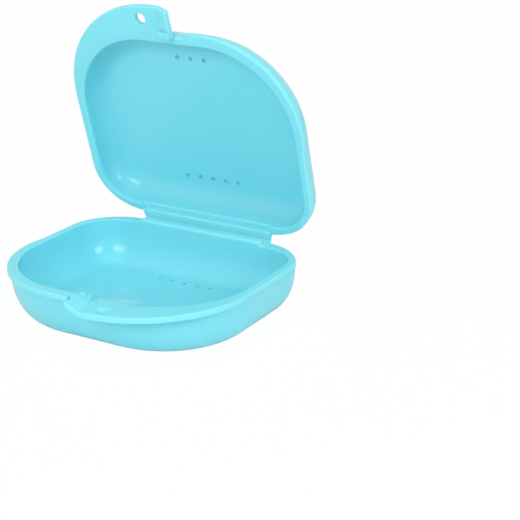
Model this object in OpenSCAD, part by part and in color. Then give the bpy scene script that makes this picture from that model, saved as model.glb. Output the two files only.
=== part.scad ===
// Orthodontic retainer case: a deep base and a shallow lid, joined at the back by one film hinge and
// held shut at the front by two tongues that meet end to end. Millimetres, +Z up, +Y to the hinge, +X to
// the right seen from the front. The origin is under the middle of the base's flat floor. The lid is
// drawn standing open.

/* [Plan] */
// Inside width at the rim
inner_w = 75; // [62:1:90]
// Inside depth at the rim, front to hinge
inner_d = 60; // [54:1:74]
// Inside corner radius on the hinge side
back_r = 12; // [9:0.5:14]
// Inside corner radius on the latch side
front_r = 27; // [20:0.5:28]

/* [Shells] */
// Height of the base, floor to rim
base_h = 16; // [12:0.5:24]
// Height of the lid, rim to top
lid_h = 10.3; // [8:0.1:16]
// Thickness of the walls and width of the rim
wall = 2.3; // [1.4:0.1:3]
// Thickness of the base's floor and the lid's top
floor_t = 1.8; // [1.2:0.1:3]
// Height of the straight band below the base's rim
base_band = 3; // [2.6:0.1:5]
// Height of the straight band above the lid's rim
lid_band = 1.9; // [1.9:0.1:4]
// How far the rounded lower edge runs in from the outside of the wall
edge_run = 8.7; // [6:0.1:9.5]
// Gap between the two rims when the case is closed
parting_gap = 0.2; // [0.1:0.05:0.4]

/* [Vents] */
// Diameter of the vent holes
vent_d = 1.5; // [1:0.1:2.5]
// Spacing of the vent holes
vent_pitch = 4.7; // [3:0.1:6]
// Vent holes in the row by the hinge
back_vents = 5; // [1:1:7]
// Vent holes in the row by the latch
front_vents = 3; // [1:1:5]
// Distance of the hinge-side row behind the middle
back_vents_y = 21.8; // [10:0.1:22]
// Distance of the latch-side row in front of the middle
front_vents_y = 20.9; // [10:0.1:22]

/* [Flange and lip] */
// Thickness of the finger flange and of the rim lip
flange_t = 1.8; // [1.4:0.1:1.8]
// Reach of the finger flange in front of the rim at its widest
flange_reach = 9.2; // [8:0.1:14]
// Reach of the flange's thin end along the side of the rim
flange_side = 0.5; // [0.3:0.1:1]
// Radius of the flange's outer edge
flange_r = 34; // [32:0.5:37]
// Diameter of the round hole in the flange
hole_d = 3.4; // [2:0.1:4]
// Distance of the middle between the two flange holes to the right of the middle
hole_mid = 1.4; // [0:0.1:2]
// Distance of each flange hole from the middle between the two
hole_along = 10.6; // [9:0.1:14]
// Distance of the flange hole in front of the rim
hole_reach = 4.9; // [4:0.1:5.5]
// Reach of the rim lip beyond the rim
lip_reach = 1.5; // [0.8:0.1:2.5]

/* [Latch] */
// Distance of the line where the tongues meet to the right of the middle
latch_x = 1.8; // [0:0.1:2.5]
// Length of each tongue's ramp
ramp_l = 4.7; // [4.5:0.1:6]
// Height by which each ramp climbs towards the other half
ramp_rise = 2.1; // [1.6:0.1:2.4]
// Gap between the latch pieces of the two halves
latch_gap = 0.3; // [0.1:0.05:0.4]
// Height of the catch block above the end of the tongue
block_up = 0.3; // [0.2:0.1:0.8]
// Length of the catch block along the rim
block_l = 3.8; // [3:0.1:4]
// Depth of the catch block, front to back
block_d = 2.1; // [1.2:0.1:3]
// Depth of the notch in the top of the base's catch block
block_notch = 1.1; // [0.3:0.1:1.2]

/* [Hinge] */
// Length of the film along the fold and of the two hinge ledges
hinge_l = 48; // [30:1:50]
// Distance from each end of the ledges to the end of the ridge on the base's rim
ridge_inset = 1.5; // [1:0.1:4]
// Height of the ridge above the parting plane
ridge_h = 0.9; // [0.4:0.1:0.9]
// Depth of the ledges' feet below the parting plane
ledge_foot = 1.8; // [1.5:0.1:1.9]
// Thickness of the ledges beside the film
ledge_t = 0.6; // [0.4:0.1:0.8]
// Distance of the fold behind the rim
fold_back = 2.9; // [2:0.1:4]
// Diameter of the round film at the fold
film_d = 0.9; // [0.6:0.1:1.2]
// Gap between the film and the ends of the ledges
fold_gap = 0.1; // [0.05:0.05:0.2]
// Angle by which the lid stands open
lid_open = 73.5; // [0:0.5:180]

/* [Hidden] */
$fn = 96;
// Steps round the quarter ellipse of a shell's rounded edge
edge_steps = 12;
// Place of the notch along the catch block, and the least plastic left under it
block_mid = 0.6;
block_web = 0.1;
// Overlap by which a cutter passes the face that it cuts
pass = 1;
half_w = inner_w / 2;
half_d = inner_d / 2;
rim_face = -parting_gap / 2;
rim_front = half_d + wall;
inner_run = edge_run - wall;
fold_y = rim_front + fold_back;
flange_mid_x = half_w + wall + flange_side - flange_r;
flange_mid_y = rim_front + flange_reach - flange_r;
lip_r = front_r + wall + lip_reach / 2;
lip_mid_x = half_w + wall + lip_reach / 3 - lip_r;
lip_mid_y = rim_front + lip_reach - lip_r;
lip_past = ramp_l;
block_back = rim_front + latch_gap;
tongue_top = rim_face + ramp_rise;
flange_low = rim_face - flange_t;
ridge_l = hinge_l - 2 * ridge_inset;
recess = ridge_h + parting_gap;
ledge_end = fold_y - film_d / 2 - fold_gap;
shell_color = "#86E3F5";
edge_color = "#97ECFB";
hinge_color = "#7CDCF0";

// Corner centres of the plan, with their radius and the angle at which each quarter turn starts
CORNERS = [[half_w - back_r, half_d - back_r, back_r, 0],
           [back_r - half_w, half_d - back_r, back_r, 90],
           [front_r - half_w, front_r - half_d, front_r, 180],
           [half_w - front_r, front_r - half_d, front_r, 270]];

// Half profile of a shell from its flat face up to its rim, as offsets from the inside rim and heights
function outer_profile(h, band) =
    concat([for (i = [0 : edge_steps])
                let (a = 90 * i / edge_steps)
                [wall - edge_run * (1 - sin(a)), -h + (h - band) * (1 - cos(a))]],
           [[wall, rim_face]]);

// Half profile of the hollow inside a shell, which runs out past the rim
function inner_profile(h, band) =
    concat([for (i = [0 : edge_steps])
                let (a = 90 * i / edge_steps)
                [-inner_run * (1 - sin(a)), -h + floor_t + (h - band - floor_t) * (1 - cos(a))]],
           [[0, pass]]);

// Solid whose plan at each height is the inside rim moved out by the profile's offset
module swept_plan(profile) {
    low = profile[0][1];
    high = profile[len(profile) - 1][1];
    for (c = CORNERS)
        translate([c[0], c[1], 0]) rotate([0, 0, c[3]]) rotate_extrude(angle = 90)
            polygon(concat([[0, low]], [for (p = profile) [c[2] + p[0], p[1]]], [[0, high]]));
    // Middle bar from side to side, between the front and back corners
    translate([0, half_d - back_r, 0]) rotate([90, 0, 0])
        linear_extrude(inner_d - back_r - front_r)
            polygon(concat([for (p = profile) [half_w + p[0], p[1]]],
                           [for (i = [len(profile) - 1 : -1 : 0]) [-half_w - profile[i][0], profile[i][1]]]));
    // Straight bars along the back and the front
    translate([back_r - half_w, half_d - back_r, 0]) rotate([90, 0, 90])
        linear_extrude(inner_w - 2 * back_r)
            polygon(concat([[0, low]], [for (p = profile) [back_r + p[0], p[1]]], [[0, high]]));
    translate([half_w - front_r, front_r - half_d, 0]) rotate([90, 0, 270])
        linear_extrude(inner_w - 2 * front_r)
            polygon(concat([[0, low]], [for (p = profile) [front_r + p[0], p[1]]], [[0, high]]));
}

// Row of vent holes through the flat face of a shell of the given height
module vent_row(h, count, y) {
    for (i = [0 : count - 1])
        translate([(i - (count - 1) / 2) * vent_pitch, y, -h - pass])
            cylinder(d = vent_d, h = floor_t + 2 * pass);
}

// Half shell below the parting plane at height zero
module half_shell(h, band) {
    difference() {
        swept_plan(outer_profile(h, band));
        swept_plan(inner_profile(h, band));
        vent_row(h, back_vents, back_vents_y);
        vent_row(h, front_vents, -front_vents_y);
    }
}

// Upright block that fills the plan out to the outside of the rim
module rim_block() {
    swept_plan([[wall, -base_h - pass], [wall, lid_h + pass]]);
}

// Flange from its outer edge in to the rim, between two heights: straight along the tongue, then round,
// fading out at the back corner
module flange_plan(meet, low, high) {
    corner_y = half_d - back_r;
    difference() {
        translate([0, 0, low]) {
            translate([flange_mid_x, -flange_mid_y, 0]) cylinder(r = flange_r, h = high - low);
            translate([meet - ramp_l, -rim_front - flange_reach, 0])
                cube([max(flange_mid_x - meet, ramp_l) + ramp_l, flange_reach + wall, high - low]);
            linear_extrude(high - low)
                polygon([[half_w, -flange_mid_y], [flange_mid_x + flange_r, -flange_mid_y],
                         [flange_mid_x + flange_r, corner_y],
                         [half_w + wall - back_r / 8, corner_y + back_r / 2], [half_w, corner_y]]);
        }
        rim_block();
    }
}

// Crescent flange on the right front of a half, up to the foot of its tongue's ramp
module half_flange(meet, hole_x) {
    intersection() {
        difference() {
            flange_plan(meet, flange_low, rim_face);
            translate([hole_x, -rim_front - hole_reach, flange_low - pass])
                cylinder(d = hole_d, h = flange_t + 2 * pass);
        }
        translate([ramp_foot(meet), -rim_front - 2 * flange_reach, flange_low - pass])
            cube([inner_w, inner_d + 2 * flange_reach, flange_t + 2 * pass]);
    }
}

// Where a tongue's upright end stands, for a half whose tongues meet at the given place
function tongue_end(meet) = meet + latch_gap / 2;

// Where a tongue's ramp starts to climb from the flange
function ramp_foot(meet) = tongue_end(meet) + ramp_l;

// Height of the top of a tongue's ramp
function ramp_top(meet, x) = tongue_top - ramp_rise * (x - tongue_end(meet)) / ramp_l;

// End of the flange, which climbs a ramp towards the other half and meets that half's tongue
module half_tongue(meet) {
    low_end = flange_low + ramp_rise;
    intersection() {
        flange_plan(meet, flange_low - pass, tongue_top + pass);
        rotate([90, 0, 0]) linear_extrude(rim_front + 2 * flange_reach)
            polygon([[ramp_foot(meet), flange_low], [ramp_foot(meet), rim_face],
                     [tongue_end(meet), tongue_top], [tongue_end(meet), low_end]]);
    }
}

// Outline of the catch block, with a flat top
function block_outline(meet) =
    let (left = tongue_end(meet), right = left + block_l, high = tongue_top + block_up)
    [[left, tongue_top], [right, ramp_top(meet, right)], [right, high], [left, high]];

// Notch across the top of the base's catch block, which stops above the ramp
module block_notch_outline(meet) {
    x = tongue_end(meet) + block_mid * block_l;
    high = tongue_top + block_up;
    low = max(high - block_notch, ramp_top(meet, x) + block_web);
    polygon([[x - high + low - pass, high + pass], [x, low], [x + high - low + pass, high + pass]]);
}

// Block on the tongue's ramp beside the rim
module half_catch_block(meet, notched) {
    translate([0, -block_back, 0]) rotate([90, 0, 0]) linear_extrude(block_d) difference() {
        polygon(block_outline(meet));
        if (notched) block_notch_outline(meet);
    }
}

// Narrow lip round the left front of a half's rim, ending beside the other half's tongue
module half_lip(meet) {
    intersection() {
        difference() {
            union() {
                translate([-lip_mid_x, -lip_mid_y, flange_low]) cylinder(r = lip_r, h = flange_t);
                translate([-lip_mid_x, -rim_front - lip_reach, flange_low])
                    cube([2 * lip_mid_x, lip_reach + wall, flange_t]);
            }
            rim_block();
        }
        translate([meet - lip_past - inner_w, -rim_front - 2 * lip_reach, flange_low - pass])
            cube([inner_w, rim_front + 2 * lip_reach, flange_t + 2 * pass]);
    }
}

// Ledge on the back of a half's rim that carries its side of the film, flush with the rim
module half_ledge() {
    translate([-hinge_l / 2, 0, 0]) rotate([90, 0, 90]) linear_extrude(hinge_l)
        polygon([[rim_front, -ledge_foot], [ledge_end, rim_face - ledge_t], [ledge_end, rim_face],
                 [rim_front, rim_face]]);
}

// Ridge along the base's rim at the hinge, which closes into the recess in the lid's rim
module rim_ridge() {
    translate([-ridge_l / 2, half_d, rim_face]) cube([ridge_l, wall - parting_gap, ridge_h - rim_face]);
}

// Recess in the lid's rim at the hinge, in front of the lid's ledge
module rim_recess() {
    translate([-hinge_l / 2, half_d - pass, -recess]) cube([hinge_l, wall + 2 * pass, recess + pass]);
}

// Places a piece that is drawn below the parting plane on the base
module on_base() {
    translate([0, 0, base_h]) children();
}

// Places a piece that is drawn below the parting plane on the lid, turned over and standing open
module on_lid() {
    translate([0, fold_y, base_h]) rotate([-lid_open, 0, 0])
        translate([0, -fold_y, 0]) rotate([0, 180, 0]) children();
}

module base_tray() {
    color(shell_color) on_base() union() {
        half_shell(base_h, base_band);
        rim_ridge();
    }
}

module base_flange() { color(edge_color) on_base() half_flange(latch_x, hole_mid + hole_along); }
module base_latch_tongue() { color(edge_color) on_base() half_tongue(latch_x); }
module base_catch_block() { color(edge_color) on_base() half_catch_block(latch_x, true); }
module base_rim_lip() { color(edge_color) on_base() half_lip(latch_x); }
module base_hinge_ledge() { color(hinge_color) on_base() half_ledge(); }

// Film along the fold between the two ledges
module hinge_film() {
    color(hinge_color) translate([-hinge_l / 2, fold_y, base_h]) rotate([0, 90, 0])
        cylinder(d = film_d, h = hinge_l);
}

module lid_shell() {
    color(shell_color) on_lid() difference() {
        half_shell(lid_h, lid_band);
        rim_recess();
    }
}

module lid_flange() { color(edge_color) on_lid() half_flange(-latch_x, hole_along - hole_mid); }
module lid_latch_tongue() { color(edge_color) on_lid() half_tongue(-latch_x); }
module lid_catch_block() { color(edge_color) on_lid() half_catch_block(-latch_x, false); }
module lid_rim_lip() { color(edge_color) on_lid() half_lip(-latch_x); }
module lid_hinge_ledge() { color(hinge_color) on_lid() half_ledge(); }

base_tray();
base_flange();
base_latch_tongue();
base_catch_block();
base_rim_lip();
base_hinge_ledge();
hinge_film();
lid_shell();
lid_flange();
lid_latch_tongue();
lid_catch_block();
lid_rim_lip();
lid_hinge_ledge();
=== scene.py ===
"""Looks of the open retainer case: two swept plastic halves, their latch, the film hinge and the studio."""

import logging
import math
from dataclasses import dataclass, field
from enum import Enum

import bmesh
import bpy
import numpy as np
from bpy.types import ID, Material, Mesh, Node, NodeSocket, NodeTree, Object
from mathutils import Matrix, Vector


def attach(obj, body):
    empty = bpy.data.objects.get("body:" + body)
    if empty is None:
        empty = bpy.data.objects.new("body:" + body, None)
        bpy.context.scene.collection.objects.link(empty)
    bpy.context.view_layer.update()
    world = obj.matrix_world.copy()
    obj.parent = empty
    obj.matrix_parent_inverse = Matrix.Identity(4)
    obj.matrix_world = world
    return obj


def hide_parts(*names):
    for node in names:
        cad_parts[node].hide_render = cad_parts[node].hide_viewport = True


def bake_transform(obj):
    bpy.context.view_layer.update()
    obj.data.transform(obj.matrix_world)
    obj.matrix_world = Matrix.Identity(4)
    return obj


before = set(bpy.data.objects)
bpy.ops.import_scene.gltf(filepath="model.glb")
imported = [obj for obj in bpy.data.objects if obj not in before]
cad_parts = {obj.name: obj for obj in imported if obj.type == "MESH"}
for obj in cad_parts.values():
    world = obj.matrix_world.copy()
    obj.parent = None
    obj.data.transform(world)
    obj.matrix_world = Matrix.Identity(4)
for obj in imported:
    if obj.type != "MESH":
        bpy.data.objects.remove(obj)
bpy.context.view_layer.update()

Pair = tuple[float, float]
Triple = tuple[float, float, float]
Colour = tuple[float, float, float, float]
Feeds = dict[int | str, object]

LOG = logging.getLogger("retainer_case")
MM = 0.001
FRAME_PIXELS = 520
SENSOR_MM = 36.0
# Mask of the painted glow: a paler colour on slim edges, the flange and the hinge, standing in for light
# through the plastic and lifting the hinge's shaded crease
PAINTED_GLOW_MASK = "painted_glow_mask"
SATIN_MASK = "satin_rim"
WHITE = (1.0, 1.0, 1.0, 1.0)
# Points closer than the first are made one, and slivers thinner than the second go, in metres
MERGE_M, SLIVER_M = 2e-6, 1e-6
# A point this near to a line counts as on it, in millimetres, and a direction's part this small as none
NEAR_MM, NO_SLOPE = 0.01, 1e-9
# Share of a round's radius between its middle and the corner that it replaces, along each face
ROUND_MIDDLE = 0.293


class Half(Enum):
    """The two halves of the moulding, by the name of the body that each rides on."""

    BASE = "base"
    LID = "lid"


class Slot(Enum):
    """The record's material slots."""

    SHELL = "shell_plastic"
    RIM = "rim_plastic"
    HINGE = "hinge_plastic"


@dataclass(frozen=True)
class CaseSizes:
    """Sizes of the case in millimetres, named as in the part's source."""

    half_w: float = 37.5
    half_d: float = 30.0
    back_r: float = 12.0
    front_r: float = 27.0
    base_h: float = 16.0
    lid_h: float = 10.3
    wall: float = 2.3
    floor_t: float = 1.8
    base_band: float = 3.0
    lid_band: float = 1.9
    edge_run: float = 8.7
    rim_face: float = -0.1
    vent_d: float = 1.5
    vent_pitch: float = 4.7
    back_vents: int = 5
    front_vents: int = 3
    back_vents_y: float = 21.8
    front_vents_y: float = 20.9
    flange_t: float = 1.8
    flange_reach: float = 9.2
    flange_side: float = 0.5
    flange_r: float = 34.0
    hole_d: float = 3.4
    hole_mid: float = 1.4
    hole_along: float = 10.6
    hole_reach: float = 4.9
    lip_reach: float = 1.5
    latch_x: float = 1.8
    ramp_l: float = 4.7
    ramp_rise: float = 2.1
    latch_gap: float = 0.3
    block_up: float = 0.3
    block_l: float = 3.8
    block_d: float = 2.1
    block_notch: float = 1.1
    block_mid: float = 0.6
    hinge_l: float = 48.0
    ridge_inset: float = 1.5
    ridge_h: float = 0.9
    recess: float = 1.1
    parting_gap: float = 0.2
    ledge_t: float = 0.6
    fold_back: float = 2.9
    film_d: float = 0.9
    fold_gap: float = 0.1
    lid_open: float = 73.5

    @property
    def rim_front(self) -> float:
        """Distance from the middle to the outside of the rim, front and back."""
        return self.half_d + self.wall

    @property
    def inner_run(self) -> float:
        """Run of the rounded lower edge inside a shell."""
        return self.edge_run - self.wall

    @property
    def fold_y(self) -> float:
        """Distance of the fold line behind the middle."""
        return self.rim_front + self.fold_back

    @property
    def flange_low(self) -> float:
        """Height of the flange's underside, from the parting plane."""
        return self.rim_face - self.flange_t

    @property
    def tongue_top(self) -> float:
        """Height of the top of a tongue's end, from the parting plane."""
        return self.rim_face + self.ramp_rise

    @property
    def ledge_end(self) -> float:
        """Distance behind the middle at which the ledges end beside the film."""
        return self.fold_y - self.film_d / 2 - self.fold_gap

    def hinge_face(self, half: Half) -> float:
        """Return the height of a half's rim at the hinge: the base's ridge or the lid's recess."""
        return self.ridge_h if half is Half.BASE else -self.recess

    def meet(self, half: Half) -> float:
        """Return where the tongues meet along the front, in a half's own drawing frame."""
        return self.latch_x if half is Half.BASE else -self.latch_x

    def tongue_end(self, half: Half) -> float:
        """Return where a tongue's upright end stands, in a half's own drawing frame."""
        return self.meet(half) + self.latch_gap / 2

    def ramp_foot(self, half: Half) -> float:
        """Return where a tongue's ramp starts to climb from the flange."""
        return self.tongue_end(half) + self.ramp_l

    def hole_x(self, half: Half) -> float:
        """Return the place of a flange's round hole along the front."""
        return self.hole_along + (self.hole_mid if half is Half.BASE else -self.hole_mid)

    def placement(self, half: Half) -> Matrix:
        """Return the matrix that puts a half, drawn below the parting plane, in its place at rest.

        Args:
            half: The half that is drawn.

        Returns:
            A matrix for points in metres.
        """
        if half is Half.BASE:
            return Matrix.Translation((0, 0, self.base_h * MM))
        fold = Vector((0, self.fold_y * MM, self.base_h * MM))
        turn = Matrix.Rotation(math.radians(-self.lid_open), 4, "X")
        flip = Matrix.Rotation(math.pi, 4, "Y")
        return Matrix.Translation(fold) @ turn @ Matrix.Translation((0, -self.fold_y * MM, 0)) @ flip


def smooth_step(low: float, high: float, x: np.ndarray) -> np.ndarray:
    """Return values mapped by a soft ramp from 0 at low to 1 at high."""
    t = np.clip((x - low) / (high - low), 0.0, 1.0)
    return t * t * (3.0 - 2.0 * t)


def direction(azimuth: float, elevation: float) -> Vector:
    """Return the way out from the case, by degrees from the front towards the right and above the floor."""
    a, e = math.radians(azimuth), math.radians(elevation)
    return Vector((math.sin(a) * math.cos(e), -math.cos(a) * math.cos(e), math.sin(e)))


def new_object(name: str, data: ID) -> Object:
    """Link a mesh, a lamp or a camera to the scene as an object.

    Args:
        name: The object's name.
        data: What it shows.

    Returns:
        The linked object.
    """
    obj = bpy.data.objects.new(name, data)
    bpy.context.scene.collection.objects.link(obj)
    return obj


def mesh_from(name: str, points: np.ndarray, faces: list[tuple[int, ...]]) -> Mesh:
    """Make a clean mesh from points in millimetres, merging those that coincide.

    Args:
        name: The mesh's name.
        points: Points, one row each.
        faces: Faces as tuples of row numbers.

    Returns:
        The mesh, in metres.
    """
    mesh = bpy.data.meshes.new(name)
    mesh.from_pydata((points * MM).tolist(), [], faces)
    work = bmesh.new()
    work.from_mesh(mesh)
    bmesh.ops.remove_doubles(work, verts=work.verts, dist=MERGE_M)
    bmesh.ops.dissolve_degenerate(work, dist=SLIVER_M, edges=work.edges)
    bmesh.ops.recalc_face_normals(work, faces=work.faces)
    work.to_mesh(mesh)
    work.free()
    return mesh


def tube_faces(rings: int, sides: int) -> list[tuple[int, ...]]:
    """Return the faces of a tube with closed ends, whose points come ring by ring.

    Args:
        rings: Number of rings.
        sides: Points in each ring.

    Returns:
        Faces as tuples of row numbers.
    """
    faces = []
    for k in range(rings - 1):
        for i in range(sides):
            j = (i + 1) % sides
            faces.append((k * sides + i, k * sides + j, (k + 1) * sides + j, (k + 1) * sides + i))
    return faces + [tuple(reversed(range(sides))), tuple(range((rings - 1) * sides, rings * sides))]


def to_circle(dx: float, dy: float, nx: float, ny: float, radius: float) -> float:
    """Return how far the far side of a circle lies along a direction.

    Args:
        dx, dy: Place, from the circle's centre.
        nx, ny: Direction.
        radius: The circle's radius.

    Returns:
        The distance, or 0 where the line misses the circle.
    """
    b = dx * nx + dy * ny
    root = b * b - (dx * dx + dy * dy - radius ** 2)
    return -b + math.sqrt(root) if root > 0 else 0.0


def store_mask(mesh: Mesh, name: str, values: np.ndarray) -> None:
    """Store one value per point on a mesh, for its material to read by the mask's name."""
    layer = mesh.attributes.new(name, "FLOAT", "POINT")
    layer.data.foreach_set("value", values.astype(np.float32))


def feed(tree: NodeTree, node: Node, feeds: Feeds) -> None:
    """Link or set inputs of a shader node.

    Args:
        tree: The node's tree.
        node: The node.
        feeds: A socket or a plain value for each input.
    """
    for entry, source in feeds.items():
        if isinstance(source, NodeSocket):
            tree.links.new(source, node.inputs[entry])
        else:
            node.inputs[entry].default_value = source


def add_node(tree: NodeTree, kind: str, feeds: Feeds, **settings: object) -> Node:
    """Add a shader node to a tree.

    Args:
        tree: The tree.
        kind: The node's type, without the word that all types start with.
        feeds: A socket or a plain value for each input.
        settings: Values of the node's own settings.

    Returns:
        The node.
    """
    node = tree.nodes.new("ShaderNode" + kind)
    for title, value in settings.items():
        setattr(node, title, value)
    feed(tree, node, feeds)
    return node


def soften(obj: Object, sharp_degrees: float = 38.0, flat_weight: int = 60) -> None:
    """Shade a piece smooth, with sharp edges by angle and flat faces kept flat.

    Args:
        obj: The piece.
        sharp_degrees: Angle above which an edge stays sharp.
        flat_weight: How strongly large faces set the shading.
    """
    for polygon in obj.data.polygons:
        polygon.use_smooth = True
    obj.data.set_sharp_from_angle(angle=math.radians(sharp_degrees))
    weighted = obj.modifiers.new("flat_faces", "WEIGHTED_NORMAL")
    weighted.keep_sharp = True
    weighted.weight = flat_weight


@dataclass(frozen=True)
class Station:
    """One place on the way round a half's rim, where the wall's section is drawn.

    Attributes:
        x, y: Place on the inside of the rim.
        nx, ny: Outward direction there.
        reach: How far flange, lip or swell stands out from the rim.
        climb: Share of the tongue's full rise.
        tip: True on the thin web at the tongue's upright end.
        drop: How far the round at the tongue's end lowers its top.
        top: Height of the rim, where that isn't the plain rim's.
        hinge: Share of the hinge ledge in the section.
    """

    x: float
    y: float
    nx: float
    ny: float
    reach: float = 0.0
    climb: float = 0.0
    tip: bool = False
    drop: float = 0.0
    top: float | None = None
    hinge: float = 0.0


@dataclass(frozen=True)
class Spacing:
    """How closely the sections stand along each stretch of the rim: counts, and runs in millimetres."""

    back_middle: int = 10
    back_outer: int = 4
    back_step: int = 8
    back_corner: int = 24
    left_side: int = 18
    right_side: int = 24
    front_corner: int = 54
    lip: int = 12
    latch: int = 8
    ramp: int = 10
    flange: int = 9
    plain_run: float = 3.0
    end_run: float = 0.8
    ends: tuple[float, ...] = (0.5, 0.35, 0.2, 0.1, 0.03, 0.0)


@dataclass(frozen=True)
class MaskZones:
    """Where the masks of a half fade in, each as a start and an end in millimetres."""

    # The first seven zones place the painted glow, a paler colour for light through slim plastic and in the
    # hinge's shaded crease; the last three place the satin rims
    rim_share: float = 0.6
    rim_depth: Pair = (-2.6, -0.2)
    rim_width: Pair = (-0.3, 0.4)
    flange_root: Pair = (0.1, 1.4)
    hinge_end: Pair = (0.5, -0.5)
    hinge_back: Pair = (-0.2, 0.6)
    hinge_depth: Pair = (-2.2, -0.6)
    satin_depth: Pair = (-0.6, -0.2)
    satin_width: Pair = (0.2, 0.5)
    satin_root: Pair = (0.1, 0.6)


@dataclass
class HalfShell:
    """One half of the case: shell, rim, flange, tongue and lip in one swept skin, in millimetres."""

    sizes: CaseSizes
    half: Half
    # Radii of the roundings, and the run of the step at each end of the ridge or recess
    edge_round: float = 0.42
    rim_round: float = 0.55
    end_round: float = 0.35
    tip_round: float = 0.5
    ledge_round: float = 0.2
    step_round: float = 0.14
    ridge_round: float = 0.4
    recess_round: float = 0.15
    step_run: float = 0.45
    # Share of painted glow at the edges and at the hinge, from 0 to 1: a paler colour that stands in for
    # light coming through the slim plastic, and at the hinge for light in its shaded crease
    edge_painted_glow: float = 0.12
    hinge_painted_glow: float = 0.45
    # Thickness of the web at a tongue's end, and where points lie between the flange's edge and the rim
    web: float = 0.02
    fall: tuple[float, ...] = (0.06, 0.14, 0.24, 0.36, 0.5, 0.65, 0.82)
    # Reach and run of the swell past each end of the hinge
    base_swell: Pair = (1.7, 13.0)
    lid_swell: Pair = (0.6, 6.0)
    swell_power: float = 1.3
    # Sideways part of a direction that counts as the side, and where the flange ends short of the back
    side_facing: float = 0.5
    fade_stop: float = 0.5
    # Rounds at the mouths of the holes, and how far a cutter runs past a face and widens there
    vent_flare: float = 0.12
    hole_flare: float = 0.5
    mouth_past: float = 0.18
    mouth_spread: float = 0.32
    # Steps round a hole, up the curve of a shell and round an arc
    hole_sides: int = 28
    curve_steps: int = 12
    arc_steps: int = 5
    spacing: Spacing = Spacing()
    zones: MaskZones = MaskZones()

    @property
    def height(self) -> float:
        """Height of the half from its flat face to the parting plane."""
        return self.sizes.base_h if self.half is Half.BASE else self.sizes.lid_h

    @property
    def band(self) -> float:
        """Height of the straight band at the rim."""
        return self.sizes.base_band if self.half is Half.BASE else self.sizes.lid_band

    def flange_reach_at(self, x: float, y: float, nx: float, ny: float) -> float:
        """Return how far the flange stands out from the rim at a place.

        Args:
            x, y: Place on the inside of the rim.
            nx, ny: Outward direction there.

        Returns:
            The reach beyond the outside of the rim, at least 0.
        """
        s = self.sizes
        side = s.half_w + s.wall + s.flange_side
        mid_x, mid_y = side - s.flange_r, s.flange_r - s.rim_front - s.flange_reach
        if ny == -1 and x < mid_x:
            return s.flange_reach
        far = to_circle(x - mid_x, y - mid_y, nx, ny, s.flange_r)
        if nx > self.side_facing and y + far * ny > mid_y:
            fade = 1.0 - float(smooth_step(s.half_d - s.back_r, s.half_d - self.fade_stop, np.array(y)))
            far = max(far, (side - x) / nx) if ny <= NO_SLOPE else s.wall + s.flange_side * fade
        return max(0.0, far - s.wall)

    def lip_reach_at(self, x: float, y: float, nx: float, ny: float) -> float:
        """Return how far the narrow lip stands out from the rim at a place.

        Args:
            x, y: Place on the inside of the rim.
            nx, ny: Outward direction there.

        Returns:
            The reach beyond the outside of the rim, at least 0.
        """
        s = self.sizes
        radius = s.front_r + s.wall + s.lip_reach / 2
        mid_x = -(s.half_w + s.wall + s.lip_reach / 3 - radius)
        mid_y = -(s.rim_front + s.lip_reach - radius)
        if x > mid_x:
            return s.lip_reach
        return max(0.0, to_circle(x - mid_x, y - mid_y, nx, ny, radius) - s.wall)

    def back_reach_at(self, x: float) -> float:
        """Return how far the rim swells out behind, towards the ends of the hinge.

        Args:
            x: Place on the outside of the rim.

        Returns:
            The reach beyond the plain rim.
        """
        full, run = self.base_swell if self.half is Half.BASE else self.lid_swell
        rest = 1.0 - max(0.0, abs(x) - self.sizes.hinge_l / 2) / run
        return full * max(0.0, rest) ** self.swell_power

    def within_hinge(self, x: float, inset: float = 0.0) -> float:
        """Return 1 along the hinge and 0 past its ends, less an inset, with a soft step between."""
        end = self.sizes.hinge_l / 2 - inset
        return 1.0 - float(smooth_step(end - self.step_run, end, np.array(abs(x))))

    def back_top_at(self, x: float) -> float:
        """Return the height of the rim along the back, with the ridge or recess of the hinge.

        Args:
            x: Place along the back.

        Returns:
            The height from the parting plane.
        """
        s = self.sizes
        share = self.within_hinge(x, s.ridge_inset if self.half is Half.BASE else 0.0)
        return s.rim_face + share * (s.hinge_face(self.half) - s.rim_face)

    def back_stations(self, places: np.ndarray) -> list[Station]:
        """Return the stations at places along the straight back."""
        return [Station(x, self.sizes.half_d, 0, 1, self.back_reach_at(x), top=self.back_top_at(x),
                        hinge=self.within_hinge(x)) for x in places]

    def back_places(self) -> np.ndarray:
        """Find the places along the right of the back, closer at the ends of the ridge and the recess.

        Returns:
            The places, from the middle outwards.
        """
        s, gaps = self.sizes, self.spacing
        last, end = s.half_w - s.back_r, s.hinge_l / 2
        marks = [*np.linspace(0, end - gaps.plain_run, gaps.back_middle)]
        marks += [*np.linspace(end, last, gaps.back_outer)[:-1]]
        for stop in (end - s.ridge_inset, end):
            marks += [*np.linspace(stop - self.step_run, stop, gaps.back_step)]
        return np.array(sorted({round(float(m), 4) for m in marks}))

    def end_rounding(self, reach: float, to_end: float) -> float:
        """Return a reach drawn in by its distance to the end of a flange, so that the corner is round."""
        rest = max(0.0, self.end_round - to_end)
        return reach - self.end_round + math.sqrt(self.end_round ** 2 - rest ** 2)

    @staticmethod
    def corner(mid_x: float, mid_y: float, radius: float, start: float, steps: int) -> list[tuple]:
        """Return the places round a quarter corner.

        Args:
            mid_x, mid_y: Corner's centre.
            radius: Corner's radius on the inside of the rim.
            start: Angle where it starts, in degrees.
            steps: Steps round it.

        Returns:
            Rows of x, y and outward direction.
        """
        rows = []
        for i in range(steps + 1):
            a = math.radians(start + 90.0 * i / steps)
            nx, ny = math.cos(a), math.sin(a)
            rows.append((mid_x + radius * nx, mid_y + radius * ny, nx, ny))
        return rows

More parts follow.
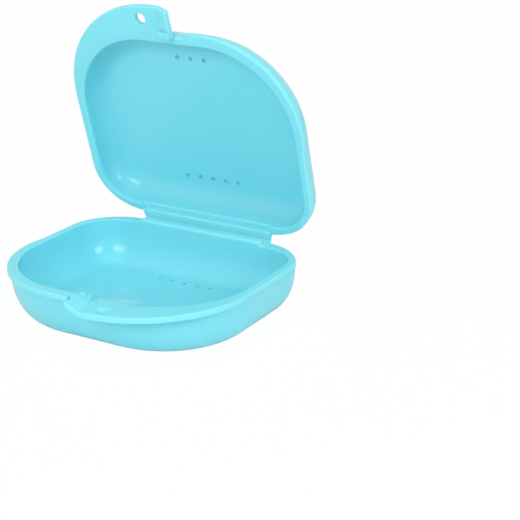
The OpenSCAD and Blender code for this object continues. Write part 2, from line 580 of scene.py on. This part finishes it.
    def front_stations(self) -> list[Station]:
        """Set the stations along the straight front.

        Returns:
            The stations, from the lip over the latch to the flange.
        """
        s, gaps, front = self.sizes, self.spacing, -self.sizes.half_d
        flat = s.half_w - s.front_r
        lip_end = s.meet(self.half) - s.ramp_l
        tip, foot = s.tongue_end(self.half), s.ramp_foot(self.half)
        rows = []
        lip = [*np.linspace(-flat, lip_end - gaps.end_run, gaps.lip)[1:], *(lip_end - e for e in gaps.ends)]
        for x in lip:
            rows.append(Station(x, front, 0, -1, self.end_rounding(s.lip_reach, lip_end - x)))
        for x in [*np.linspace(lip_end + self.web, tip, gaps.latch)[:-1], tip - self.web]:
            rows.append(Station(x, front, 0, -1))
        rows.append(Station(tip, front, 0, -1, s.latch_gap, climb=1.0, tip=True))
        ramp = [*(tip + e for e in reversed(gaps.ends)), *np.linspace(tip + gaps.end_run, foot, gaps.ramp)]
        for x in ramp:
            full = self.flange_reach_at(x, front, 0, -1)
            rest = max(0.0, self.tip_round - (x - tip))
            drop = self.tip_round - math.sqrt(self.tip_round ** 2 - rest ** 2)
            rows.append(Station(x, front, 0, -1, self.end_rounding(full, x - tip),
                                climb=(foot - x) / (foot - tip), drop=drop))
        for x in np.linspace(foot, flat, gaps.flange)[1:-1]:
            rows.append(Station(x, front, 0, -1, self.flange_reach_at(x, front, 0, -1)))
        return rows

    def stations(self) -> list[Station]:
        """Set the stations all round the rim.

        Returns:
            The stations, counter-clockwise from the middle of the back.
        """
        s, gaps = self.sizes, self.spacing
        back_x, back_y = s.half_w - s.back_r, s.half_d - s.back_r
        front_x, front_y = s.half_w - s.front_r, s.front_r - s.half_d
        places = self.back_places()
        rows = self.back_stations(-places)
        rows += [Station(*p, self.back_reach_at(p[0] + s.wall * p[2]))
                 for p in self.corner(-back_x, back_y, s.back_r, 90, gaps.back_corner)]
        left = [(-s.half_w, y, -1, 0) for y in np.linspace(back_y, front_y, gaps.left_side)[1:-1]]
        left += self.corner(-front_x, front_y, s.front_r, 180, gaps.front_corner)
        rows += [Station(*p, self.lip_reach_at(*p)) for p in left]
        rows += self.front_stations()
        right = self.corner(front_x, front_y, s.front_r, 270, gaps.front_corner)
        right += [(s.half_w, y, 1, 0) for y in np.linspace(front_y, back_y, gaps.right_side)[1:-1]]
        rows += [Station(*p, self.flange_reach_at(*p)) for p in right]
        for p in self.corner(back_x, back_y, s.back_r, 0, gaps.back_corner):
            swell = self.back_reach_at(p[0] + s.wall * p[2])
            rows.append(Station(*p, max(self.flange_reach_at(*p), swell)))
        rows += self.back_stations(places[:0:-1])
        return rows

    def arc(self, mid: Pair, radius: float, start: float, end: float) -> list[Pair]:
        """Return points of a section, as offset and height, round an arc between two angles in degrees."""
        angles = np.radians(np.linspace(start, end, self.arc_steps + 1))
        return [(mid[0] + radius * math.cos(a), mid[1] + radius * math.sin(a)) for a in angles]

    def ledge_section(self) -> list[Pair]:
        """Return the outline of the hinge ledge, from its foot round its end to its root on the rim.

        Returns:
            Points as offset and height, as many as the flange's outline has.
        """
        s, r = self.sizes, self.ledge_round
        out = s.wall + s.ledge_end - s.rim_front
        rows = [(s.wall, s.flange_low)]
        rows += self.arc((out - r, s.rim_face - s.ledge_t + r), r, -90, 0)
        rows += self.arc((out - r, s.rim_face - r), r, 0, 90)
        rows += [(out - r - t * (out - r - s.wall), s.rim_face) for t in self.fall]
        return rows + [(s.wall, s.rim_face)]

    def section(self, at: Station) -> np.ndarray:
        """Return the wall's section at a station, from the outer floor over the rim to the inner floor.

        Args:
            at: The station.

        Returns:
            Points, one row each, in the half's drawing frame.
        """
        s, h, band = self.sizes, self.height, self.band
        # Outside, from the floor up the rounded lower edge to the band
        turns = np.radians(np.linspace(0, 90, self.curve_steps + 1))
        outer = [(s.wall - s.edge_run * (1 - math.sin(a)), -h + (h - band) * (1 - math.cos(a)))
                 for a in turns]
        # Edge of the flange, lip or tongue, from its underside round and back along its top to the rim
        low = s.rim_face - self.web if at.tip else s.flange_low
        top = 0.0 if at.tip else self.edge_round
        under = min(top, at.reach)
        out = s.wall + at.reach
        edge = [(s.wall, low)]
        edge += self.arc((out - under, low + under), under, -90, 0)
        edge += self.arc((out - top, s.rim_face - top), top, 0, 90)
        inner = min(s.wall + (s.latch_gap if at.climb else 0.0), out - top)
        edge += [(edge[-1][0] + (inner - edge[-1][0]) * t, s.rim_face) for t in self.fall]
        edge += [(inner, s.rim_face)]
        # Along the hinge the ledge takes its place
        if at.hinge:
            edge = [tuple(e[k] + (g[k] - e[k]) * at.hinge for k in (0, 1))
                    for e, g in zip(edge, self.ledge_section())]
            inner = edge[-1][0]
        # Land, the rim's own face, raised to the ridge or sunk to the recess, with its rounded inner edge
        face = s.rim_face if at.top is None else at.top
        share = (face - s.rim_face) / (s.hinge_face(self.half) - s.rim_face)
        soft = self.step_round * share
        if self.half is Half.BASE:
            inner -= s.parting_gap * share
            edge[-1] = (inner, s.rim_face)
            land = [(inner, face - soft), (inner - soft, face)]
        else:
            edge[-1] = (inner + soft, s.rim_face)
            land = [(inner, s.rim_face - soft), (inner, face)]
        more = self.ridge_round if self.half is Half.BASE else self.recess_round
        bend = self.rim_round + more * share
        land += self.arc((bend, face - bend), bend, 90, 180)
        # Inside, down the wall and round its foot to the floor
        drop = h - band - s.floor_t
        bends = np.radians(np.linspace(90, 0, 2 * self.curve_steps + 1))
        inside = [(-s.inner_run * (1 - math.sin(a)), -h + s.floor_t + drop * (1 - math.cos(a)))
                  for a in bends]
        # A tongue's edge is lifted, but its root on the wall stays below the rim
        rows = []
        lift = 0.0 if at.tip else at.climb * s.ramp_rise
        for group, raised in ((outer, False), (edge, True), (land, False), (inside, False)):
            for k, (offset, z) in enumerate(group):
                if raised and lift:
                    z += lift - (at.drop if z > (low + s.rim_face) / 2 else 0.0)
                    if k == 0:
                        z = min(z, s.rim_face - self.web)
                rows.append((at.x + at.nx * offset, at.y + at.ny * offset, z))
        return np.array(rows)

    def spool(self, x: float, y: float, low: float, high: float, radius: float,
              flare: float) -> tuple[list, list]:
        """Return the points and faces of a hole cutter with a flared mouth at both ends.

        Args:
            x, y: Place of its axis.
            low: Height of the lower face that it cuts.
            high: Height of the upper face that it cuts.
            radius: Radius of the hole.
            flare: Size of the round at each mouth.

        Returns:
            Points and faces.
        """
        near, sides = ROUND_MIDDLE * flare, self.hole_sides
        mouth = radius + flare + self.mouth_spread
        ladder = [(low - self.mouth_past, mouth), (low + near, radius + near), (low + flare, radius)]
        ladder += [(high - flare, radius), (high - near, radius + near), (high + self.mouth_past, mouth)]
        points = []
        for z, r in ladder:
            for i in range(sides):
                a = 2 * math.pi * i / sides
                points.append((x + r * math.cos(a), y + r * math.sin(a), z))
        return points, tube_faces(len(ladder), sides)

    def cutter(self) -> Object:
        """Build the cutters of the vents and of the flange's hole.

        Returns:
            One object with all of them.
        """
        s = self.sizes
        holes = []
        for count, y in ((s.back_vents, s.back_vents_y), (s.front_vents, -s.front_vents_y)):
            for i in range(count):
                x = (i - (count - 1) / 2) * s.vent_pitch
                floor = -self.height + s.floor_t
                holes.append((x, y, -self.height, floor, s.vent_d / 2, self.vent_flare))
        holes.append((s.hole_x(self.half), -s.rim_front - s.hole_reach, s.flange_low, s.rim_face,
                      s.hole_d / 2, self.hole_flare))
        points, faces = [], []
        for hole in holes:
            start = len(points)
            more, skin = self.spool(*hole)
            points += more
            faces += [tuple(start + i for i in f) for f in skin]
        return new_object("hole_cutter", mesh_from("hole_cutter", np.array(points), faces))

    def store_masks(self, mesh: Mesh) -> None:
        """Store on each point the share of painted glow, a paler colour standing in for light through slim
        plastic and in the hinge's shaded crease, and how satin its face is, from 0 to 1.

        Args:
            mesh: The half's mesh, in its drawing frame.
        """
        s, zone = self.sizes, self.zones
        co = np.zeros(len(mesh.vertices) * 3, np.float32)
        mesh.vertices.foreach_get("co", co)
        p = co.reshape(-1, 3).astype(float) / MM
        ax, y, z = np.abs(p[:, 0]), p[:, 1], p[:, 2]
        radius = np.where(y > 0, s.back_r, s.front_r)
        qx, qy = ax - (s.half_w - radius), np.abs(y) - (s.half_d - radius)
        offset = np.hypot(np.maximum(qx, 0), np.maximum(qy, 0)) + np.minimum(np.maximum(qx, qy), 0) - radius
        # Painted glow on the rim's edges and the flange: a paler colour that stands in for light through
        # the slim plastic
        edges = zone.rim_share * smooth_step(*zone.rim_depth, z) * smooth_step(*zone.rim_width, offset)
        edges = self.edge_painted_glow * np.maximum(edges, smooth_step(*zone.flange_root, offset - s.wall))
        # Painted glow at the hinge: a paler colour that lifts the shade in the crease between the ledges
        hinge = self.hinge_painted_glow * smooth_step(*zone.hinge_end, ax - s.hinge_l / 2)
        hinge *= smooth_step(*zone.hinge_back, y - s.half_d) * smooth_step(*zone.hinge_depth, z)
        store_mask(mesh, PAINTED_GLOW_MASK, np.maximum(edges, hinge))
        satin = smooth_step(*zone.satin_depth, z) * smooth_step(*zone.satin_width, offset)
        satin = np.maximum(satin, smooth_step(*zone.satin_root, offset - s.wall))
        store_mask(mesh, SATIN_MASK, satin)

    def crease_ramp(self, obj: Object) -> None:
        """Mark the line at the foot of the tongue's ramp as a crease.

        Args:
            obj: The half, in its place at rest.
        """
        s = self.sizes
        foot = s.ramp_foot(self.half)
        home = s.placement(self.half).inverted()
        on_line = []
        for vertex in obj.data.vertices:
            x, y, _ = (home @ vertex.co) / MM
            on_line.append(abs(x - foot) < NEAR_MM and y < -s.rim_front + NEAR_MM)
        for edge in obj.data.edges:
            if all(on_line[i] for i in edge.vertices):
                edge.use_edge_sharp = True

    def build(self) -> Object:
        """Build the half as one closed skin with real holes.

        Returns:
            The piece, in its place at rest.
        """
        sections = np.stack([self.section(at) for at in self.stations()])
        rounds, steps = sections.shape[:2]
        faces = []
        for i in range(rounds):
            j = (i + 1) % rounds
            for k in range(steps - 1):
                faces.append((i * steps + k, j * steps + k, j * steps + k + 1, i * steps + k + 1))
        faces.append(tuple(i * steps for i in reversed(range(rounds))))
        faces.append(tuple(i * steps + steps - 1 for i in range(rounds)))
        name = f"{self.half.value}_moulding"
        draft = new_object(name + "_draft", mesh_from(name + "_draft", sections.reshape(-1, 3), faces))
        cutter = self.cutter()
        cut = draft.modifiers.new("holes", "BOOLEAN")
        cut.operation, cut.solver, cut.object = "DIFFERENCE", "EXACT", cutter
        graph = bpy.context.evaluated_depsgraph_get()
        mesh = bpy.data.meshes.new_from_object(draft.evaluated_get(graph))
        mesh.name = name
        for extra in (draft, cutter):
            bpy.data.objects.remove(extra)
        self.store_masks(mesh)
        mesh.transform(self.sizes.placement(self.half))
        obj = new_object(name, mesh)
        soften(obj)
        self.crease_ramp(obj)
        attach(obj, self.half.value)
        shell = "base_tray" if self.half is Half.BASE else "lid_shell"
        regions = ("flange", "latch_tongue", "rim_lip", "hinge_ledge")
        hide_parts(shell, *(f"{self.half.value}_{n}" for n in regions))
        return obj


@dataclass
class CatchBlock:
    """The block on a tongue's ramp, beside the rim: notched on the base, plain on the lid."""

    sizes: CaseSizes
    half: Half
    # Edges that turn by more than the angle, in radians, are rounded
    bevel: float = 0.22
    bevel_steps: int = 3
    corner_angle: float = 0.3
    # Depth of the foot in the ramp, and the share of painted glow, a paler colour for light through the
    # plastic
    sunk: float = 0.3
    painted_glow: float = 0.1

    def build(self) -> Object:
        """Build the block with rounded edges, its foot sunk in the ramp.

        Returns:
            The piece, in its place at rest.
        """
        s = self.sizes
        left = s.tongue_end(self.half)
        right, high = left + s.block_l, s.tongue_top + s.block_up
        tops = [(left, high), (right, high)]
        if self.half is Half.BASE:
            mid, deep = left + s.block_mid * s.block_l, s.block_notch
            tops[1:1] = [(mid - deep, high), (mid, high - deep), (mid + deep, high)]
        back = -(s.rim_front + s.latch_gap)
        points = []
        for x, top in tops:
            low = s.tongue_top - s.ramp_rise * (x - left) / s.ramp_l - self.sunk
            front = back - s.block_d
            points += [(x, back, low), (x, back, top), (x, front, top), (x, front, low)]
        name = f"{self.half.value}_catch"
        mesh = mesh_from(name, np.array(points), tube_faces(len(tops), 4))
        work = bmesh.new()
        work.from_mesh(mesh)
        corners = [edge for edge in work.edges if edge.calc_face_angle(0.0) > self.corner_angle]
        bmesh.ops.bevel(work, geom=corners, offset=self.bevel * MM, segments=self.bevel_steps,
                        affect="EDGES", profile=0.5)
        bmesh.ops.recalc_face_normals(work, faces=work.faces)
        work.to_mesh(mesh)
        work.free()
        # Painted glow: the whole block a little paler, for light through the plastic
        store_mask(mesh, PAINTED_GLOW_MASK, np.full(len(mesh.vertices), self.painted_glow))
        mesh.transform(s.placement(self.half))
        obj = new_object(name, mesh)
        soften(obj)
        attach(obj, self.half.value)
        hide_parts(f"{self.half.value}_catch_block")
        return obj


@dataclass
class HingeFilm:
    """The slim film, bent between the two ledges at the lid's open angle."""

    sizes: CaseSizes
    thickness: float = 0.42
    # Straight run into each ledge, distance from the ledges' ends, and taper of the film's own ends
    tail: float = 0.75
    end_gap: float = 0.45
    edge_inset: float = 0.08
    # Share of painted glow: a paler colour over the whole film, standing in for light through it in the
    # shaded fold
    painted_glow: float = 0.4
    steps: int = 14

    def build(self) -> Object:
        """Build the film as a bent strip that follows the base at one edge and the lid at the other.

        Returns:
            The piece, in its place at rest.
        """
        s = self.sizes
        radius = s.ledge_t / 2 - s.rim_face
        end = 90.0 - s.lid_open
        rows = [(-self.tail, -radius, -90.0), (-self.tail / 2, -radius, -90.0)]
        for a in np.linspace(-90.0, end, self.steps + 1):
            rows.append((radius * math.cos(math.radians(a)), radius * math.sin(math.radians(a)), float(a)))
        turn = math.radians(end)
        for run in (self.tail / 2, self.tail):
            y = radius * math.cos(turn) - run * math.sin(turn)
            rows.append((y, radius * math.sin(turn) + run * math.cos(turn), end))
        half_l, half_t = s.hinge_l / 2 - self.end_gap, self.thickness / 2
        points = []
        for y, z, a in rows:
            cy, cz = math.cos(math.radians(a)), math.sin(math.radians(a))
            for x, side in ((-half_l, 1), (half_l, 1), (half_l, -1), (-half_l, -1)):
                inset = self.edge_inset if side < 0 else 0.0
                points.append((x - math.copysign(inset, x), s.fold_y + y + side * half_t * cy,
                               s.base_h + z + side * half_t * cz))
        mesh = mesh_from("hinge_film_strip", np.array(points), tube_faces(len(rows), 4))
        # Painted glow over the whole film
        store_mask(mesh, PAINTED_GLOW_MASK, np.full(len(mesh.vertices), self.painted_glow))
        obj = new_object("hinge_film_strip", mesh)
        soften(obj)
        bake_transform(obj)
        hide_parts("hinge_film")
        return obj


class GroupKit:
    """Shader node groups that every plastic of the case shares."""

    def __init__(self) -> None:
        """Build the groups once."""
        self.tint = self.make_tint()
        self.skin = self.make_skin()

    @staticmethod
    def start(name: str, inputs: Feeds, outputs: Feeds) -> tuple:
        """Start a node group with named sockets, for values or for colours by what they start from.

        Args:
            name: The group's name.
            inputs: First value of each input.
            outputs: First value of each output.

        Returns:
            The group, the sockets that bring its inputs and the sockets that take its outputs.
        """
        tree = bpy.data.node_groups.new(name, "ShaderNodeTree")
        for way, sockets in (("INPUT", inputs), ("OUTPUT", outputs)):
            for title, value in sockets.items():
                kind = "NodeSocketFloat" if isinstance(value, float) else "NodeSocketColor"
                tree.interface.new_socket(title, in_out=way, socket_type=kind).default_value = value
        return tree, tree.nodes.new("NodeGroupInput").outputs, tree.nodes.new("NodeGroupOutput").inputs

    @staticmethod
    def noise(tree: NodeTree, scale: NodeSocket, detail: float) -> NodeSocket:
        """Return noise on the piece's own coordinates, with a number of finer layers."""
        at = add_node(tree, "TexCoord", {}).outputs["Object"]
        return add_node(tree, "TexNoise", {"Vector": at, "Scale": scale, "Detail": detail}).outputs["Fac"]

    @staticmethod
    def mask(tree: NodeTree, name: str) -> NodeSocket:
        """Return a mask that is stored on the mesh."""
        return add_node(tree, "Attribute", {}, attribute_name=name).outputs["Fac"]

    @staticmethod
    def scaled(tree: NodeTree, value: NodeSocket, amount: NodeSocket) -> NodeSocket:
        """Return a value times an amount."""
        return add_node(tree, "Math", {0: value, 1: amount}, operation="MULTIPLY").outputs[0]

    @staticmethod
    def raised(tree: NodeTree, base: NodeSocket, value: NodeSocket, amount: NodeSocket) -> NodeSocket:
        """Return a base plus a value times an amount."""
        return add_node(tree, "Math", {0: value, 1: amount, 2: base}, operation="MULTIPLY_ADD").outputs[0]

    @staticmethod
    def mixed(tree: NodeTree, share: NodeSocket, first: NodeSocket, second: NodeSocket) -> NodeSocket:
        """Return a first colour with a share of a second one mixed in."""
        feeds = {"Factor": share, "A": first, "B": second}
        return add_node(tree, "Mix", feeds, data_type="RGBA").outputs["Result"]

    def make_tint(self, detail: float = 3.0) -> NodeTree:
        """Return the group that tints the plastic: slow colour drift, and a painted glow, paler where the
        mask is set, that stands in for light through the plastic.

        Args:
            detail: Finer layers in the drift.

        Returns:
            The group.
        """
        inputs = {"Body": WHITE, "Deep": WHITE, "Painted Glow": WHITE,
                  "Drift": 0.3, "Painted Glow Amount": 0.5, "Scale": 30.0}
        tree, put, out = self.start("moulded_tint", inputs, {"Color": WHITE})
        drift = self.scaled(tree, self.noise(tree, put["Scale"], detail), put["Drift"])
        body = self.mixed(tree, drift, put["Body"], put["Deep"])
        # Painted glow: the mask's share of the paler colour, for light through slim plastic and in shaded
        # creases
        painted_glow = self.scaled(tree, self.mask(tree, PAINTED_GLOW_MASK), put["Painted Glow Amount"])
        tree.links.new(self.mixed(tree, painted_glow, body, put["Painted Glow"]), out["Color"])
        return tree

    def make_skin(self, swell_detail: float = 4.0, grain_detail: float = 2.0) -> NodeTree:
        """Return the group with the moulded skin: uneven gloss, satin rims and a fine swell.

        Args:
            swell_detail: Finer layers in the swell.
            grain_detail: Finer layers in the grain.

        Returns:
            The group.
        """
        inputs = {"Gloss": 0.2, "Unevenness": 0.1, "Grain Scale": 900.0, "Swell Scale": 60.0,
                  "Grain": 0.2, "Satin": 0.3}
        tree, put, out = self.start("moulded_skin", inputs, {"Roughness": 0.0, "Height": 0.0})
        swell = self.noise(tree, put["Swell Scale"], swell_detail)
        gloss = self.raised(tree, put["Gloss"], swell, put["Unevenness"])
        rough = self.raised(tree, gloss, self.mask(tree, SATIN_MASK), put["Satin"])
        tree.links.new(rough, out["Roughness"])
        grain = self.noise(tree, put["Grain Scale"], grain_detail)
        tree.links.new(self.raised(tree, swell, grain, put["Grain"]), out["Height"])
        return tree


def srgb(red: int, green: int, blue: int) -> Colour:
    """Return a colour written in screen values as a linear one.

    Args:
        red, green, blue: Screen values from 0 to 255.

    Returns:
        The linear colour with full alpha.
    """
    def linear(value: int) -> float:
        """Return one channel in linear light."""
        v = value / 255.0
        return v / 12.92 if v <= 0.04045 else ((v + 0.055) / 1.055) ** 2.4
    return (linear(red), linear(green), linear(blue), 1.0)


@dataclass(frozen=True)
class PlasticFinish:
    """A finish of the aqua plastic."""

    name: str
    body: Colour = srgb(131, 221, 233)
    deep: Colour = srgb(122, 216, 229)
    # The third colour is the painted glow, a paler colour for light through slim plastic and in shaded
    # creases; the amount after the drift sets its full share
    painted_glow: Colour = srgb(164, 243, 250)
    drift: float = 0.35
    painted_glow_amount: float = 1.0
    gloss: float = 0.005
    unevenness: float = 0.012
    grain: float = 0.1
    bump: float = 0.015
    glow: float = 0.45
    shine: float = 0.3
    satin: float = 0.5
    tint_scale: float = 22.0
    refraction: float = 1.49
    glow_reach: Triple = (0.6, 1.0, 1.0)
    glow_scale: float = 0.002

    def make(self, kit: GroupKit) -> Material:
        """Make the material.

        Args:
            kit: The shared node groups.

        Returns:
            The material.
        """
        material = bpy.data.materials.new(self.name)
        material.use_nodes = True
        tree = material.node_tree
        tint = add_node(tree, "Group", {
            "Body": self.body, "Deep": self.deep, "Painted Glow": self.painted_glow, "Drift": self.drift,
            "Painted Glow Amount": self.painted_glow_amount, "Scale": self.tint_scale}, node_tree=kit.tint)
        skin = add_node(tree, "Group", {
            "Gloss": self.gloss, "Unevenness": self.unevenness, "Grain": self.grain,
            "Satin": self.satin}, node_tree=kit.skin)
        bump = add_node(tree, "Bump", {
            "Height": skin.outputs["Height"], "Strength": self.bump, "Distance": MM})
        feed(tree, tree.nodes["Principled BSDF"], {
            "Base Color": tint.outputs["Color"], "Roughness": skin.outputs["Roughness"],
            "Normal": bump.outputs["Normal"], "IOR": self.refraction, "Specular IOR Level": self.shine,
            "Subsurface Weight": self.glow, "Subsurface Radius": self.glow_reach,
            "Subsurface Scale": self.glow_scale})
        return material


@dataclass(frozen=True)
class SoftBox:
    """A rectangular studio lamp that looks at the case from a direction."""

    name: str
    azimuth: float
    elevation: float
    width: float
    height: float
    radiance: float
    distance: float = 0.85
    target: Triple = (0.0, 0.0, 0.03)

    def build(self) -> Object:
        """Build the lamp.

        Returns:
            The lamp's object.
        """
        way = direction(self.azimuth, self.elevation)
        data = bpy.data.lights.new(self.name, "AREA")
        data.shape, data.size, data.size_y = "RECTANGLE", self.width, self.height
        data.energy = self.radiance * math.pi * self.width * self.height
        lamp = new_object(self.name, data)
        lamp.location = Vector(self.target) + way * self.distance
        lamp.rotation_euler = way.to_track_quat("Z", "Y").to_euler()
        return lamp


@dataclass
class Studio:
    """The white floor, the soft light and the camera at the photograph's viewing angle."""

    azimuth: float = 30.168
    elevation: float = 20.300
    # Where the case's origin lies from the camera: to the right, down and ahead
    shift_mm: Triple = (-34.752, 15.546, 423.906)
    focal_pixels: float = 1400.0
    sky: float = 0.52
    floor_show: float = 0.965
    floor_size: float = 1.6
    floor_cells: int = 8
    floor_drop: float = 0.0002
    floor_paint: Colour = (0.93, 0.93, 0.93, 1.0)
    clip: Pair = (0.01, 20.0)
    lamps: list[SoftBox] = field(default_factory=lambda: [
        SoftBox("left_box", 5.0, 27.0, 0.54, 0.31, 5.2),
        SoftBox("right_box", 81.0, 26.0, 0.38, 0.27, 6.4),
        SoftBox("top_box", 20.0, 75.0, 0.9, 0.9, 0.65),
    ])

    def camera(self) -> Object:
        """Build the camera.

        Returns:
            The camera's object.
        """
        a = math.radians(self.azimuth)
        back = direction(self.azimuth, self.elevation)
        right = Vector((math.cos(a), math.sin(a), 0.0))
        up = back.cross(right)
        x, y, z = self.shift_mm
        data = bpy.data.cameras.new("photo_camera")
        data.sensor_width = SENSOR_MM
        data.lens = self.focal_pixels / FRAME_PIXELS * SENSOR_MM
        data.clip_start, data.clip_end = self.clip
        camera = new_object("photo_camera", data)
        place = (right * -x + up * y + back * z) * MM
        camera.matrix_world = Matrix.Translation(place) @ Matrix((right, up, back)).transposed().to_4x4()
        bpy.context.scene.camera = camera
        return camera

    @staticmethod
    def show(tree: NodeTree, plain: Node, seen: Node, others: tuple[str, ...], output: str,
             share: float = 1.0) -> None:
        """End a tree in one shader, and for rays that are seen in another.

        Args:
            tree: The tree.
            plain: Shader for light that falls on other things.
            seen: Shader for the camera's rays and for the other kinds that are named.
            others: Names of the other kinds of rays.
            output: Type of the output node.
            share: How much of the second shader the seen rays get.
        """
        rays = add_node(tree, "LightPath", {}).outputs
        last = rays["Is Camera Ray"]
        for title in others:
            last = add_node(tree, "Math", {0: last, 1: rays[title]}, operation="MAXIMUM").outputs[0]
        part = add_node(tree, "Math", {0: last, 1: share}, operation="MULTIPLY")
        mix = add_node(tree, "MixShader", {0: part.outputs[0], 1: plain.outputs[0], 2: seen.outputs[0]})
        add_node(tree, output, {"Surface": mix.outputs[0]})

    def world(self) -> None:
        """Set an even soft sky that shows as plain white wherever it is seen."""
        world = bpy.data.worlds.new("white_studio")
        bpy.context.scene.world = world
        world.use_nodes = True
        tree = world.node_tree
        tree.nodes.clear()
        seen, light = (add_node(tree, "Background", {"Color": WHITE, "Strength": strength})
                       for strength in (1.0, self.sky))
        self.show(tree, light, seen, ("Is Glossy Ray", "Is Transmission Ray"), "OutputWorld")

    def floor(self) -> Object:
        """Build the white floor, which keeps a faint shadow of the object.

        Returns:
            The floor's object.
        """
        cells = self.floor_cells
        work = bmesh.new()
        bmesh.ops.create_grid(work, x_segments=cells, y_segments=cells, size=self.floor_size)
        mesh = bpy.data.meshes.new("floor_sheet")
        work.to_mesh(mesh)
        work.free()
        floor = new_object("floor_sheet", mesh)
        floor.location.z = -self.floor_drop
        material = bpy.data.materials.new("white_floor")
        material.use_nodes = True
        tree = material.node_tree
        tree.nodes.clear()
        paint = add_node(tree, "BsdfDiffuse", {"Color": self.floor_paint})
        shine = add_node(tree, "Emission", {"Strength": 1.0})
        self.show(tree, paint, shine, ("Is Transmission Ray",), "OutputMaterial", self.floor_show)
        mesh.materials.append(material)
        return floor

    def build(self) -> None:
        """Build the studio."""
        bpy.context.scene.view_settings.view_transform = "Standard"
        self.world()
        self.floor()
        for lamp in self.lamps:
            lamp.build()
        self.camera()


def dress(pieces: dict[Slot, list[Object]], kit: GroupKit) -> None:
    """Give each piece the finish of its slot.

    Args:
        pieces: Pieces by material slot.
        kit: The shared node groups.
    """
    finishes = {
        Slot.SHELL: PlasticFinish("aqua_shell"),
        Slot.RIM: PlasticFinish("aqua_rim", gloss=0.22),
        Slot.HINGE: PlasticFinish("aqua_hinge", gloss=0.3, grain=0.2),
    }
    for slot, members in pieces.items():
        material = finishes[slot].make(kit)
        for obj in members:
            obj.data.materials.clear()
            obj.data.materials.append(material)


def main() -> None:
    """Build the case and its studio."""
    logging.basicConfig(level=logging.INFO, format="%(name)s: %(message)s")
    sizes = CaseSizes()
    pieces: dict[Slot, list[Object]] = {slot: [] for slot in Slot}
    for half in Half:
        pieces[Slot.SHELL].append(HalfShell(sizes, half).build())
        pieces[Slot.RIM].append(CatchBlock(sizes, half).build())
    pieces[Slot.HINGE].append(HingeFilm(sizes).build())
    dress(pieces, GroupKit())
    for slot, members in pieces.items():
        for obj in members:
            LOG.info("%s: %d faces, slot %s", obj.name, len(obj.data.polygons), slot.value)
    Studio().build()


if __name__ == "__main__":
    main()
